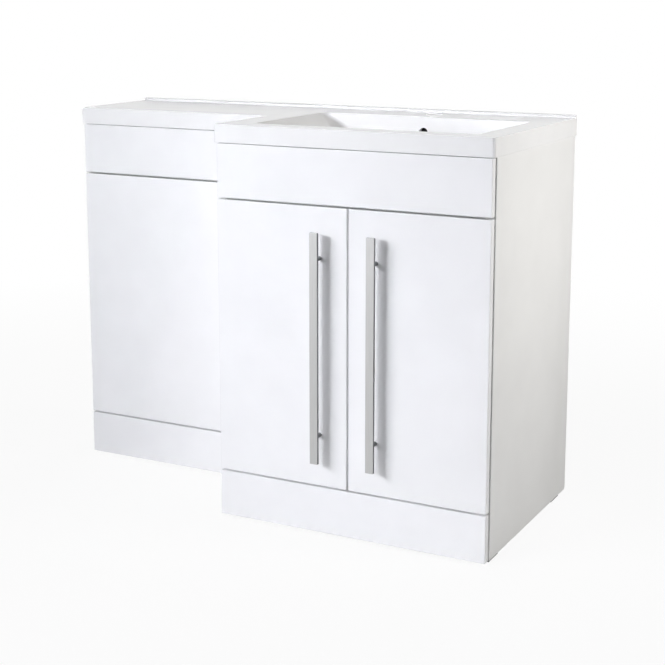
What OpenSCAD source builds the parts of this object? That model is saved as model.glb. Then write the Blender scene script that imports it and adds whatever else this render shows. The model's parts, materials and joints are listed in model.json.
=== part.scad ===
// Toilet and basin combination unit: an L-shaped cast basin on a deep two-door vanity cabinet,
// beside a shallow back-to-wall WC cabinet. Millimetres, +Z up, front towards -Y, back on the wall.
// The origin is on the floor, in the middle of the unit's width and of its depth over the handles.

/* [Cabinets] */
// Width of the vanity cabinet over its side panels
vanity_w = 598; // [560:1:700]
// Depth of the vanity cabinet from the wall to the faces of its doors
vanity_d = 478; // [450:1:520]
// Width of the WC cabinet over its side panels
wc_w = 494; // [470:1:620]
// Depth of the WC cabinet from the wall to the face of its front panel
wc_d = 263; // [230:1:320]
// Thickness of the side panels, bases, rails and shelf
board_t = 15; // [12:1:18]
// Thickness of the doors, fascias, front panel and plinths
front_t = 16; // [15:1:19]
// Space between the back of the fronts and the cabinets' front edges
buffer_gap = 3; // [3:0.5:4]
// How far the side panels stand out past the edges of the fronts
reveal = 1.5; // [0.5:0.5:2]
// Gap between neighbouring fronts
front_gap = 3.5; // [2:0.5:4]
// Radius on the vertical edges of the fronts
edge_r = 1.5; // [1.2:0.1:2]

/* [Heights] */
// Height of the glides that the side panels stand on
glide_h = 3; // [2:0.5:6]
// Height of the plinths
plinth_h = 96; // [70:1:150]
// Height of the doors and of the WC front panel
door_h = 572; // [480:1:620]
// Height of the fascia panels under the top
fascia_h = 110.5; // [105:0.5:150]
// Gap between the fascias and the top
top_gap = 1.5; // [0.5:0.5:3]

/* [Top] */
// Overhang of the top past the outer side panels
side_over = 4; // [2:0.5:10]
// Overhang of the top past the fronts
front_over = 2; // [1:0.5:10]
// Height of the front and side aprons
apron_h = 37; // [32:1:45]
// Thickness of the deck over the hollow underside
deck_t = 12; // [10:1:16]
// Width of the solid rim along the sides, where the top rests on the side panels
rim_side = 17; // [15:1:19]
// Width of the solid rim along the front and the back
rim_front = 30; // [28:1:34]
// Radius on the upright corners of the top
corner_r = 5; // [2:0.5:10]
// Height of the lip along the wall
lip_h = 6; // [4:0.5:12]
// Thickness of the lip along the wall
lip_t = 12; // [8:1:20]

/* [Bowl] */
// Width of the bowl's opening
bowl_w = 488; // [440:1:500]
// Length of the bowl's opening from front to back
bowl_l = 302; // [280:1:310]
// Width of the rim between the top's right edge and the bowl
bowl_right = 56; // [54:1:60]
// Width of the rim in front of the bowl
bowl_front = 54; // [50:1:58]
// Depth of the bowl below the deck
bowl_dep = 100; // [80:1:105]
// Radius on the upright corners of the bowl
bowl_r = 16; // [8:1:30]
// Radius where the bowl's walls meet its floor
bowl_floor_r = 20; // [10:1:30]
// Run of the sloping left wall from the deck to the floor
ramp_run = 110; // [80:1:140]
// Inward lean of the other walls over their height
wall_lean = 8; // [4:1:14]
// Thickness of the bowl's walls and floor
bowl_wall = 9; // [8:0.5:11]
// Radius of the tap hole
tap_r = 17.5; // [16:0.5:18]
// Distance of the tap hole from the wall
tap_back = 68; // [60:1:76]
// Radius of the waste hole
waste_r = 23; // [20:0.5:25]
// Distance of the waste hole from the wall
waste_back = 214; // [200:1:280]
// Height of the waste boss below the bowl's floor
boss_h = 20; // [18:1:30]
// Wall of the waste boss
boss_wall = 9; // [6:1:12]
// Radius of the overflow hole
overflow_r = 10; // [8:0.5:12]
// Depth of the overflow hole's middle below the deck
overflow_down = 34; // [30:1:45]
// Inner width of the overflow duct
duct_w = 30; // [26:1:40]
// Inner depth of the overflow duct
duct_d = 12; // [8:1:14]
// Wall of the overflow duct
duct_wall = 2; // [1.5:0.5:3]

/* [Cabinet inside] */
// Height of the vanity's front rail behind the fascia
front_rail_h = 125; // [122:1:135]
// Height of the back rails
back_rail_h = 90; // [70:1:100]
// Service gap between the back rails and the wall
back_gap = 15; // [12:1:25]
// Depth of the WC cabinet's base rail, which lies flat
wc_rail_d = 60; // [50:1:80]
// Height of the upright WC rail behind the joint of its fronts
wc_mid_h = 90; // [80:1:100]
// Height of the upright WC rail under the top
wc_top_h = 60; // [50:1:66]
// Height of the shelf above the cabinet's base
shelf_up = 270; // [150:1:330]
// Depth of the shelf
shelf_d = 330; // [250:1:350]
// Distance of the shelf behind the cabinet's front edge
shelf_back = 60; // [20:1:90]
// Side play of the shelf in the cabinet, each side
shelf_play = 1; // [0.5:0.5:2]
// Radius of the shelf pins
shelf_pin_r = 2.5; // [2:0.5:3]
// Length of the shelf pins inside the side panels
shelf_pin_in = 9; // [6:1:10]
// Length of the shelf pins under the shelf
shelf_pin_out = 12; // [8:1:16]
// Distance of the shelf pins from the shelf's front and back edges
shelf_pin_inset = 45; // [30:1:60]

/* [Handles] */
// Length of a bar
bar_l = 470; // [350:1:500]
// Width of a bar's face
bar_w = 17; // [14:0.5:20]
// Thickness of a bar
bar_t = 6.5; // [5:0.5:9]
// Distance of a bar's face from the door's face
bar_out = 28; // [25:1:38]
// Distance of a bar's middle from the door's free edge
bar_inset = 60; // [35:1:80]
// Height of a bar's middle above the door's middle
bar_up = 3; // [-20:1:20]
// Distance between a bar's two posts
post_pitch = 362; // [288:1:400]
// Radius of a post
post_r = 4.5; // [4:0.25:6]
// Radius of the screws that hold the posts
handle_screw_r = 2; // [1.5:0.25:2.5]
// Length of the screws inside the posts
handle_screw_in = 12; // [8:1:15]

/* [Hinges] */
// Height of the hinges from the door's ends
hinge_inset = 100; // [80:1:140]
// Radius of the hinge cups
cup_r = 17.5; // [17:0.25:18]
// Distance of the cups from the door's outer edge
cup_edge = 3; // [2.75:0.25:3.5]
// Depth of the cups in the door
cup_dep = 12; // [11.5:0.25:12.5]
// Wall of the cups
cup_wall = 1; // [0.8:0.1:1.2]
// Thickness of the flange of the cups and of its screw heads
flange_t = 1.2; // [1:0.1:1.4]
// Distance of the hinge pin from the door's outer edge
pin_u = 7.5; // [7.3:0.1:7.6]
// Distance of the hinge pin from the back of the door
pin_v = 8; // [7.8:0.1:8.4]
// Radius of the hinge pin
pin_r = 1.25; // [1:0.05:1.3]
// Running clearance of the hinge pin in the arm's eye
pin_clear = 0.05; // [0.02:0.01:0.1]
// Wall of the arm's eye round the pin
eye_wall = 0.8; // [0.7:0.05:0.85]
// Thickness of the arm's hooked nose
nose_t = 1.8; // [1.5:0.1:2]
// Width of the arm's hooked nose
nose_w = 8; // [6:0.5:9]
// Width of the arm
arm_w = 13; // [12:0.5:16]
// Length of the arm behind the cabinet's front edge
arm_l = 58; // [50:1:70]
// Wall of the arm, a folded channel
arm_wall = 1.5; // [1.2:0.1:2]
// Thickness of the mounting plates
plate_t = 3; // [2.5:0.5:4]
// Height of the mounting plates
plate_h = 50; // [46:1:60]
// Length of the mounting plates
plate_l = 26; // [22:1:30]
// Distance of the mounting plates' screws from the cabinet's front edge
plate_back = 37; // [35:1:45]
// Length of the hinge screws in the side panels
plate_screw_in = 12; // [9:0.5:12]
// Length of the cup screws in the doors
cup_screw_in = 9; // [7:0.5:12]
// Height of the channel of the arm off the mounting plate
arm_h = 8.5; // [8:0.5:10]

/* [Fittings] */
// Radius of the dowels
dowel_r = 4; // [3:0.5:4]
// Length of a dowel in each board
dowel_in = 10; // [7:1:11]
// Radius of the cam discs
cam_r = 7.5; // [6:0.5:8]
// Height of the cam discs
cam_h = 11; // [10.8:0.1:11.6]
// Radius of the cam bolts
cam_bolt_r = 3; // [2.5:0.25:3.5]
// Distance of the cam discs' middles from the side panels
cam_in = 24; // [20:1:30]
// Length of the glides
glide_l = 48; // [40:1:60]
// Width of the glides
glide_w = 12; // [10:0.5:12]
// Distance of the front glides from the side panels' front edges
glide_front = 2; // [2:1:20]
// Distance of the rear glides from the wall
glide_back = 41; // [20:1:60]
// Radius of the glides' pins
glide_pin_r = 2; // [1.5:0.25:2.5]
// Length of the glides' pins
glide_pin_l = 10; // [8:1:14]
// Radius of the spacers behind the fixed fronts
spacer_r = 8; // [6:0.5:9]
// Radius of the screws through those spacers
front_screw_r = 2; // [1.5:0.25:2.5]
// Side of the corner blocks
block_s = 22; // [18:1:28]
// Length of the corner blocks
block_l = 40; // [30:1:60]
// Radius of the sleeves that link the two cabinets
sleeve_r = 4; // [3.5:0.25:5]
// Radius of the bolts in those sleeves
link_bolt_r = 2.5; // [2:0.25:3]
// Radius of the heads of those bolts and sleeves
link_head_r = 7.5; // [6:0.5:9]
// Thickness of the heads of those bolts and sleeves
link_head_t = 1.5; // [1:0.25:2]
// Distance of those bolts from the wall and from the WC cabinet's front edge
link_inset = 60; // [50:1:70]
// Height of the lower ones above the bases
link_up = 115; // [100:1:160]
// Depth of the upper ones below the top
link_down = 160; // [150:1:200]
// Leg of the wall brackets
bracket_leg = 40; // [35:1:50]
// Width of the wall brackets
bracket_w = 22; // [18:1:30]
// Thickness of the wall brackets
bracket_t = 2.5; // [2:0.25:3]
// Radius of the wall brackets' holes
bracket_hole_r = 3; // [2.5:0.25:3.5]
// Depth of the wall brackets' top edge below the top
bracket_down = 120; // [115:1:200]
// Radius of the studs that hold the WC access panel
stud_r = 4; // [3:0.25:5]
// Length of those studs behind the panel
stud_l = 12; // [8:1:14]
// Length of those studs in the panel
stud_in = 8; // [6:1:10]
// Running clearance of those studs in their sockets
stud_clear = 0.3; // [0.2:0.05:0.5]
// Radius of the sockets' flanges
socket_r = 9; // [8:0.5:12]

/* [Hidden] */
$fn = 64;
eps = 0.5;             // how far a cut runs past the face it opens

// Across the unit
top_w = wc_w + vanity_w + 2 * side_over;
top_x0 = -top_w / 2;
top_x1 = top_w / 2;
wc_x0 = top_x0 + side_over;
wc_x1 = wc_x0 + wc_w;
van_x0 = wc_x1;
van_x1 = van_x0 + vanity_w;
van_cx = (van_x0 + van_x1) / 2;
deep_x0 = van_x0 - side_over;
door_x0 = van_x0 + reveal;
door_x1 = van_x1 - reveal;
door_w = (door_x1 - door_x0 - front_gap) / 2;
// Depths, measured from the wall towards the front
handle_d = vanity_d + bar_out;
wall_y = handle_d / 2;
top_d = vanity_d + front_over;
wc_top_d = wc_d + front_over;
van_face = vanity_d;
van_box_d = vanity_d - front_t - buffer_gap;
wc_box_d = wc_d - front_t - buffer_gap;
// Heights
box_z0 = glide_h;
door_z0 = box_z0 + plinth_h + front_gap;
door_z1 = door_z0 + door_h;
fascia_z0 = door_z1 + front_gap;
fascia_z1 = fascia_z0 + fascia_h;
box_z1 = fascia_z1 + top_gap;
deck_z = box_z1 + apron_h;
base_z0 = box_z0 + plinth_h;
base_z1 = base_z0 + board_t;
// Bowl
bowl_x1 = top_x1 - bowl_right;
bowl_x0 = bowl_x1 - bowl_w;
bowl_cx = (bowl_x0 + bowl_x1) / 2;
bowl_d1 = top_d - bowl_front;
bowl_d0 = bowl_d1 - bowl_l;
bowl_z = deck_z - bowl_dep;
boss_r = waste_r + boss_wall;
boss_z = bowl_z - bowl_wall - boss_h;
overflow_z = deck_z - overflow_down;
duct_back = bowl_d0 - bowl_wall;
// Fittings
rail_x0 = van_x0 + board_t;
rail_x1 = van_x1 - board_t;
wc_rail_x0 = wc_x0 + board_t;
wc_rail_x1 = wc_x1 - board_t;
shelf_z0 = base_z1 + shelf_up;
shelf_d1 = van_box_d - shelf_back;
shelf_d0 = shelf_d1 - shelf_d;
bar_z = (door_z0 + door_z1) / 2 + bar_up;
hinge_z = [door_z0 + hinge_inset, door_z1 - hinge_inset];
cup_u = cup_edge + cup_r;
cup_fit = 0.1;
eye_r = pin_r + pin_clear + eye_wall;
panel_u = board_t - reveal;
panel_v = buffer_gap;
nose_u = pin_u + 11;
arm_u = panel_u + plate_t;
arm_v0 = panel_v + 1;
plate_v = panel_v + plate_back;
cup_screw_z = 24;
cup_screw_u = cup_u + 6;
plate_screw_z = 16;
small_screw_r = 1.75;
small_head_r = 3.5;
small_head_t = 2;
buffer_r = 4;
buffer_t = buffer_gap - 0.3;
buffer_edge = 25;
link_d = [link_inset, wc_box_d - link_inset];
link_z = [base_z1 + link_up, box_z1 - link_down];
wc_mid_z0 = fascia_z0 - front_gap / 2 - wc_mid_h / 2;
stud_x = [wc_rail_x0 + 45, wc_rail_x1 - 45];
stud_z = [fascia_z0 + 20, fascia_z1 - 20];
socket_t = buffer_gap - 0.3;
// Middle heights of the screws and spacers that hold each fixed front
fascia_fix_z = fascia_z0 + fascia_h * 0.6;
panel_fix_z = door_z1 - 30;

// ---- Shared shapes ----

// A box between two places across the unit, two distances from the wall and two heights
module board(x0, x1, d0, d1, z0, z1) {
  translate([x0, wall_y - d1, z0]) cube([x1 - x0, d1 - d0, z1 - z0]);
}

// A rectangle from the origin with round corners
module round_rect(w, h, r) {
  translate([r, 0]) square([w - 2 * r, h]);
  translate([0, r]) square([w, h - 2 * r]);
  for (x = [r, w - r], y = [r, h - r]) translate([x, y]) circle(r = r);
}

// A front board: a slab with rounded upright edges, its face at distance d from the wall
module front_board(x0, x1, d, z0, z1) {
  translate([x0, wall_y - d, z0]) linear_extrude(z1 - z0) round_rect(x1 - x0, front_t, edge_r);
}

// A round bar along X from x0 to x1, at distance d from the wall and height z
module bar_x(x0, x1, d, z, r) {
  translate([x0, wall_y - d, z]) rotate([0, 90, 0]) cylinder(r = r, h = x1 - x0);
}

// A round bar along Y from distance d1 back to distance d0 from the wall
module bar_y(x, d0, d1, z, r) {
  translate([x, wall_y - d1, z]) rotate([-90, 0, 0]) cylinder(r = r, h = d1 - d0);
}

// An upright round bar
module bar_z_at(x, d, z0, z1, r) {
  translate([x, wall_y - d, z0]) cylinder(r = r, h = z1 - z0);
}

// Draws its children for the right-hand side of the vanity, or mirrored for the left
module hand(side) {
  if (side == "right") children();
  else translate([2 * van_cx, 0, 0]) mirror([1, 0, 0]) children();
}

// ---- Top ----

// The L-shaped outline of the top, drawn in by side and front insets
module top_outline(inset_side, inset_front, r) {
  translate([deep_x0 + inset_side, wall_y - top_d + inset_front])
    round_rect(top_x1 - deep_x0 - 2 * inset_side, top_d - 2 * inset_front, r);
  translate([top_x0 + inset_side, wall_y - wc_top_d + inset_front])
    round_rect(deep_x0 - top_x0 + 2 * corner_r + rim_front, wc_top_d - 2 * inset_front, r);
}

// Points of an arc, for the bowl's profiles
function arc(c, r, a0, a1, n = 5) =
  [for (i = [0 : n]) let (a = a0 + (a1 - a0) * i / n) [c[0] + r * cos(a), c[1] + r * sin(a)]];

// Front view of the bowl: a sloping wall on the left, a steep one on the right. g grows it
// outwards, and the profile runs on upwards to height top.
module bowl_side(g, top) {
  ramp_a = atan(bowl_dep / ramp_run);
  lean_a = atan(wall_lean / bowl_dep);
  zf = bowl_z - g;
  up = top - deck_z;
  ramp_x = bowl_x0 - g / sin(ramp_a);
  floor_x = ramp_x + (deck_z - zf) / tan(ramp_a);
  toe = bowl_floor_r * tan(ramp_a / 2);
  right_x = bowl_x1 + g / cos(lean_a);
  heel = bowl_floor_r * tan((90 - lean_a) / 2);
  foot_x = right_x - (deck_z - zf) * tan(lean_a);
  polygon(concat(
    [[right_x + up * tan(lean_a), top], [ramp_x - up / tan(ramp_a), top]],
    arc([floor_x + toe, zf + bowl_floor_r], bowl_floor_r, 270 - ramp_a, 270),
    arc([foot_x - heel, zf + bowl_floor_r], bowl_floor_r, 270, 360 - lean_a)));
}

// Side view of the bowl's hollow, from front to back
module bowl_end(top) {
  lean_a = atan(wall_lean / bowl_dep);
  up = (top - deck_z) * tan(lean_a);
  y0 = wall_y - bowl_d1;
  y1 = wall_y - bowl_d0;
  heel = wall_lean + bowl_floor_r * tan((90 - lean_a) / 2);
  polygon(concat(
    [[y1 + up, top], [y0 - up, top]],
    arc([y0 + heel, bowl_z + bowl_floor_r], bowl_floor_r, 180 + lean_a, 270),
    arc([y1 - heel, bowl_z + bowl_floor_r], bowl_floor_r, 270, 360 - lean_a)));
}

// The hollow of the bowl
module bowl_hollow() {
  top = deck_z + 20;
  intersection() {
    translate([bowl_x0, wall_y - bowl_d1, bowl_z - 1])
      linear_extrude(top - bowl_z) round_rect(bowl_w, bowl_l, bowl_r);
    translate([0, wall_y, 0]) rotate([90, 0, 0]) linear_extrude(top_d) bowl_side(0, top);
    translate([top_x0, 0, 0]) rotate([90, 0, 90]) linear_extrude(top_w) bowl_end(top);
  }
}

// The outside of the bowl under the deck
module bowl_shell() {
  translate([0, wall_y - bowl_d0 + bowl_wall, 0]) rotate([90, 0, 0])
    linear_extrude(bowl_l + 2 * bowl_wall) intersection() {
      bowl_side(bowl_wall, deck_z + 20);
      translate([bowl_x0 - bowl_wall, boss_z]) square([bowl_w + 2 * bowl_wall, deck_z - deck_t / 2 - boss_z]);
    }
}

module basin_top() {
  color("white") difference() {
    union() {
      difference() {
        translate([0, 0, box_z1]) linear_extrude(apron_h) top_outline(0, 0, corner_r);
        translate([0, 0, box_z1 - eps]) linear_extrude(apron_h - deck_t + eps)
          top_outline(rim_side, rim_front, corner_r);
      }
      board(top_x0, top_x1, 0, lip_t, deck_z - eps, deck_z + lip_h);
      bowl_shell();
      bar_z_at(bowl_cx, waste_back, boss_z, bowl_z - bowl_wall / 2, boss_r);
    }
    bowl_hollow();
    bar_z_at(bowl_cx, waste_back, boss_z - eps, bowl_z + eps, waste_r);
    bar_z_at(bowl_cx, tap_back, box_z1, deck_z + eps, tap_r);
    bar_y(bowl_cx, duct_back - eps, bowl_d0 + wall_lean + eps, overflow_z, overflow_r);
    // slot from the overflow duct into the waste hole
    board(bowl_cx - duct_w / 2 + duct_wall, bowl_cx + duct_w / 2 - duct_wall,
          waste_back - boss_r - eps, waste_back, boss_z + 4, boss_z + 4 + duct_d);
  }
}

// A glued-on channel from behind the overflow hole down and forward to the waste boss
module overflow_duct() {
  w = duct_w / 2 + duct_wall;
  z_top = overflow_z + overflow_r + 6;
  z_low = boss_z;
  z_run = bowl_z - bowl_wall;
  color("dimgray") difference() {
    union() {
      board(bowl_cx - w, bowl_cx + w, duct_back - duct_d - duct_wall, duct_back, z_low, z_top);
      board(bowl_cx - w, bowl_cx + w, duct_back - duct_d - duct_wall, waste_back, z_low, z_run);
    }
    bar_z_at(bowl_cx, waste_back, z_low - eps, z_run + eps, boss_r);
    board(bowl_cx - duct_w / 2, bowl_cx + duct_w / 2, duct_back - duct_d, duct_back + eps,
          z_run - eps, z_top - duct_wall);
    board(bowl_cx - duct_w / 2, bowl_cx + duct_w / 2, duct_back - duct_d, waste_back + eps,
          z_low + duct_wall, z_run - duct_wall);
    board(bowl_cx - duct_w / 2, bowl_cx + duct_w / 2, duct_back - duct_d, duct_back,
          z_low + duct_wall, z_run + eps);
  }
}

// ---- Carcass joints: two dowels and a cam beside each board end ----

// Each entry: inner face of the side panel, direction into the board, distances from the wall
// of the dowels and the cam, height of the joint, and which way the cam disc's axis lies
function van_ends(d, z) = [[rail_x0, 1, d, z], [rail_x1, -1, d, z]];
function wc_ends(d, z) = [[wc_rail_x0, 1, d, z], [wc_rail_x1, -1, d, z]];
back_mid = back_gap + board_t / 2;
rail_mid = van_box_d - board_t / 2;
wc_front_mid = wc_box_d - board_t / 2;
// Flat boards: their fittings lie side by side in depth
flat_ends = concat(
  van_ends([60, van_box_d - 60, van_box_d - 92], base_z0 + board_t / 2),
  wc_ends([wc_box_d - 14, wc_box_d - 46, wc_box_d - 30], base_z0 + board_t / 2));
// Upright boards: their fittings lie one above another
upright_ends = concat(
  van_ends(rail_mid, box_z1 - front_rail_h / 2),
  van_ends(back_mid, box_z1 - back_rail_h / 2),
  van_ends(back_mid, base_z1 + back_rail_h / 2),
  wc_ends(back_mid, box_z1 - back_rail_h / 2),
  wc_ends(back_mid, base_z1 + back_rail_h / 2),
  wc_ends(wc_front_mid, wc_mid_z0 + wc_mid_h / 2),
  wc_ends(wc_front_mid, box_z1 - wc_top_h / 2));
upright_dowel = 18;      // from a cam to the dowels above and below it

module joint_bar(e, d, z, r, inward, outward) {
  x = e[0];
  if (e[1] > 0) bar_x(x - outward, x + inward, d, z, r);
  else bar_x(x - inward, x + outward, d, z, r);
}

module dowel_set() {
  for (e = flat_ends, i = [0, 1]) joint_bar(e, e[2][i], e[3], dowel_r, dowel_in, dowel_in);
  for (e = upright_ends, s = [-1, 1])
    joint_bar(e, e[2], e[3] + s * upright_dowel, dowel_r, dowel_in, dowel_in);
}

// Cam bolts end inside the cam discs, short of their middles
module cam_bolt_set() {
  for (e = flat_ends) joint_bar(e, e[2][2], e[3], cam_bolt_r, cam_in - cam_r / 3, dowel_in);
  for (e = upright_ends) joint_bar(e, e[2], e[3], cam_bolt_r, cam_in - cam_r / 3, dowel_in);
}

// Cam discs sit in the underside of flat boards and in the inner face of upright ones
module cam_disc_set() {
  for (e = flat_ends)
    bar_z_at(e[0] + e[1] * cam_in, e[2][2], e[3] - board_t / 2, e[3] - board_t / 2 + cam_h, cam_r);
  for (e = upright_ends) {
    back = e[2] == back_mid;
    face = e[2] + (back ? board_t / 2 : -board_t / 2);
    bar_y(e[0] + e[1] * cam_in, back ? face - cam_h : face, back ? face : face + cam_h, e[3], cam_r);
  }
}

module dowels() { color("burlywood") dowel_set(); }
module cam_bolts() { color("silver") cam_bolt_set(); }
module cam_discs() {
  color("darkgray") difference() {
    cam_disc_set();
    cam_bolt_set();
  }
}

// Cuts for all the hidden fittings, taken from the boards they sit in
module fitting_cuts() {
  dowel_set();
  cam_bolt_set();
  cam_disc_set();
}

// ---- Side panels ----

module glide_pins(x0, d_front) {
  for (d = [glide_back + glide_l / 2, d_front - glide_front - glide_l / 2], s = [-1, 1])
    bar_z_at(x0 + board_t / 2, d + s * glide_l / 4, box_z0 - eps, box_z0 + glide_pin_l, glide_pin_r);
}

module glide_pair(x0, d_front) {
  for (d = [glide_back, d_front - glide_front - glide_l])
    board(x0 + (board_t - glide_w) / 2, x0 + (board_t + glide_w) / 2, d, d + glide_l, 0, box_z0);
  glide_pins(x0, d_front);
}

module shelf_pin_set() {
  for (x = [rail_x0, rail_x1], d = [shelf_d0 + shelf_pin_inset, shelf_d1 - shelf_pin_inset])
    bar_x(x - (x == rail_x0 ? shelf_pin_in : shelf_pin_out),
          x + (x == rail_x0 ? shelf_pin_out : shelf_pin_in), d, shelf_z0 - shelf_pin_r, shelf_pin_r);
}

module link_holes(x0, x1) {
  for (d = link_d, z = link_z) bar_x(x0, x1, d, z, sleeve_r);
}

module plate_screw_holes(side) {
  hand(side) for (z = hinge_z, s = [-1, 1])
    hinge_at(z) translate([panel_u, plate_v, s * plate_screw_z])
      rotate([0, -90, 0]) cylinder(r = small_screw_r, h = plate_screw_in);
}

module bracket_screw_holes() {
  for (b = bracket_sites)
    bar_x(b[0] - (b[1] > 0 ? bracket_screw_in : 0), b[0] + (b[1] > 0 ? 0 : bracket_screw_in),
          bracket_screw_d, bracket_z, small_screw_r);
}

module side_panel(x0, d) {
  bevel = 4;             // small bevel at the lower rear corner
  difference() {
    board(x0, x0 + board_t, 0, d, box_z0, box_z1);
    translate([x0 - eps, wall_y, box_z0]) rotate([45, 0, 0])
      translate([0, -bevel / 2, -bevel]) cube([board_t + 2 * eps, bevel, 2 * bevel]);
    fitting_cuts();
    glide_pins(x0, d);
    bracket_screw_holes();
  }
}

module vanity_side_left() {
  color("whitesmoke") difference() {
    side_panel(van_x0, van_box_d);
    shelf_pin_set();
    link_holes(van_x0 - eps, van_x0 + board_t + eps);
    plate_screw_holes("left");
  }
}

module vanity_side_right() {
  color("whitesmoke") difference() {
    side_panel(van_x1 - board_t, van_box_d);
    shelf_pin_set();
    plate_screw_holes("right");
  }
}

module wc_side_left() { color("whitesmoke") side_panel(wc_x0, wc_box_d); }

module wc_side_right() {
  color("whitesmoke") difference() {
    side_panel(wc_x1 - board_t, wc_box_d);
    link_holes(wc_x1 - board_t - eps, wc_x1 + eps);
  }
}

module glides_vanity() {
  color("dimgray") for (x = [van_x0, van_x1 - board_t]) glide_pair(x, van_box_d);
}

module glides_wc() {
  color("dimgray") for (x = [wc_x0, wc_x1 - board_t]) glide_pair(x, wc_box_d);
}

// ---- Bases, rails and shelf ----

module vanity_base() {
  color("whitesmoke") difference() {
    board(rail_x0, rail_x1, back_gap, van_box_d, base_z0, base_z1);
    fitting_cuts();
  }
}

module vanity_front_rail() {
  color("whitesmoke") difference() {
    board(rail_x0, rail_x1, van_box_d - board_t, van_box_d, box_z1 - front_rail_h, box_z1);
    fitting_cuts();
    front_fix_bores();
  }
}

module back_rail(x0, x1, z0) {
  difference() {
    board(x0, x1, back_gap, back_gap + board_t, z0, z0 + back_rail_h);
    fitting_cuts();
  }
}

module vanity_back_rail_top() { color("whitesmoke") back_rail(rail_x0, rail_x1, box_z1 - back_rail_h); }
module vanity_back_rail_low() { color("whitesmoke") back_rail(rail_x0, rail_x1, base_z1); }
module wc_back_rail_top() { color("whitesmoke") back_rail(wc_rail_x0, wc_rail_x1, box_z1 - back_rail_h); }
module wc_back_rail_low() { color("whitesmoke") back_rail(wc_rail_x0, wc_rail_x1, base_z1); }

module vanity_shelf() {
  color("whitesmoke")
    board(rail_x0 + shelf_play, rail_x1 - shelf_play, shelf_d0, shelf_d1, shelf_z0, shelf_z0 + board_t);
}

module shelf_pins() { color("silver") shelf_pin_set(); }

module wc_base_rail() {
  color("whitesmoke") difference() {
    board(wc_rail_x0, wc_rail_x1, wc_box_d - wc_rail_d, wc_box_d, base_z0, base_z1);
    fitting_cuts();
  }
}

module wc_front_rail(z0, h) {
  color("whitesmoke") difference() {
    board(wc_rail_x0, wc_rail_x1, wc_box_d - board_t, wc_box_d, z0, z0 + h);
    fitting_cuts();
    front_fix_bores();
    stud_bores();
  }
}

module wc_mid_rail() { wc_front_rail(wc_mid_z0, wc_mid_h); }
module wc_top_rail() { wc_front_rail(box_z1 - wc_top_h, wc_top_h); }

// ---- Fixed fronts ----

// Each entry: place across, distance of the cabinet's front edge from the wall, height
front_fixes = concat(
  [for (x = [rail_x0 + 70, rail_x1 - 70]) [x, van_box_d, fascia_fix_z]],
  [for (x = [wc_rail_x0 + 90, wc_rail_x1 - 90]) [x, wc_box_d, panel_fix_z]]);
front_screw_in = 10;

module front_fix_bores() {
  for (f = front_fixes) bar_y(f[0], f[1] - board_t - eps, f[1] + eps, f[2], front_screw_r);
}

module front_fix_pilots() {
  for (f = front_fixes)
    bar_y(f[0], f[1], f[1] + buffer_gap + front_screw_in, f[2], front_screw_r);
}

module front_spacers() {
  color("white") for (f = front_fixes) difference() {
    bar_y(f[0], f[1], f[1] + buffer_gap, f[2], spacer_r);
    bar_y(f[0], f[1] - eps, f[1] + buffer_gap + eps, f[2], front_screw_r);
  }
}

module front_screws() {
  color("silver") for (f = front_fixes) {
    bar_y(f[0], f[1] - board_t, f[1] + buffer_gap + front_screw_in, f[2], front_screw_r);
    bar_y(f[0], f[1] - board_t - small_head_t, f[1] - board_t, f[2], 2 * front_screw_r);
  }
}

module vanity_fascia() {
  color("white") difference() {
    front_board(door_x0, door_x1, van_face, fascia_z0, fascia_z1);
    front_fix_pilots();
  }
}

module vanity_plinth() { color("white") front_board(door_x0, door_x1, van_face, box_z0, box_z0 + plinth_h); }

module wc_front_panel() {
  color("white") difference() {
    front_board(wc_x0 + reveal, wc_x1 - reveal, wc_d, door_z0, door_z1);
    front_fix_pilots();
  }
}

module wc_plinth() {
  color("white") front_board(wc_x0 + reveal, wc_x1 - reveal, wc_d, box_z0, box_z0 + plinth_h);
}

// A block in the corner between the back of a front, at distance d, and a base at height z
module corner_block(x, d, z) {
  board(x - block_l / 2, x + block_l / 2, d - block_s, d, z, z + block_s);
}

// Blocks that hold the plinths under the bases and the WC front panel on its base rail
module corner_blocks() {
  color("white") {
    for (x = [rail_x0 + 80, van_cx, rail_x1 - 80])
      corner_block(x, van_face - front_t, base_z0 - block_s);
    for (x = [wc_rail_x0 + 80, wc_rail_x1 - 80], z = [base_z0 - block_s, base_z1])
      corner_block(x, wc_d - front_t, z);
  }
}

// ---- WC access panel, which pulls off forwards ----

module studs(r, back) {
  for (x = stud_x, z = stud_z) bar_y(x, wc_box_d - back, wc_d - front_t, z, r);
}

module stud_bores() {
  for (x = stud_x, z = stud_z) bar_y(x, wc_box_d - board_t - eps, wc_box_d + eps, z, socket_bore_r);
}
socket_bore_r = stud_r + stud_clear + 1;

module wc_access_panel() {
  color("white") difference() {
    front_board(wc_x0 + reveal, wc_x1 - reveal, wc_d, fascia_z0, fascia_z1);
    for (x = stud_x, z = stud_z) bar_y(x, wc_d - front_t, wc_d - front_t + stud_in, z, stud_r);
  }
}

module access_panel_studs() {
  color("lightgray") for (x = stud_x, z = stud_z) {
    bar_y(x, wc_d - front_t - stud_l, wc_d - front_t + stud_in, z, stud_r);
  }
}

// Plastic sockets pushed into the rails, which grip the studs
module access_panel_sockets() {
  color("lightgray") for (x = stud_x, z = stud_z) difference() {
    union() {
      bar_y(x, wc_box_d - board_t, wc_box_d, z, socket_bore_r);
      bar_y(x, wc_box_d, wc_box_d + socket_t, z, socket_r);
    }
    bar_y(x, wc_box_d - board_t - eps, wc_box_d + buffer_gap + eps, z, stud_r + stud_clear);
  }
}

// ---- Links between the cabinets and to the wall ----

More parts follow.
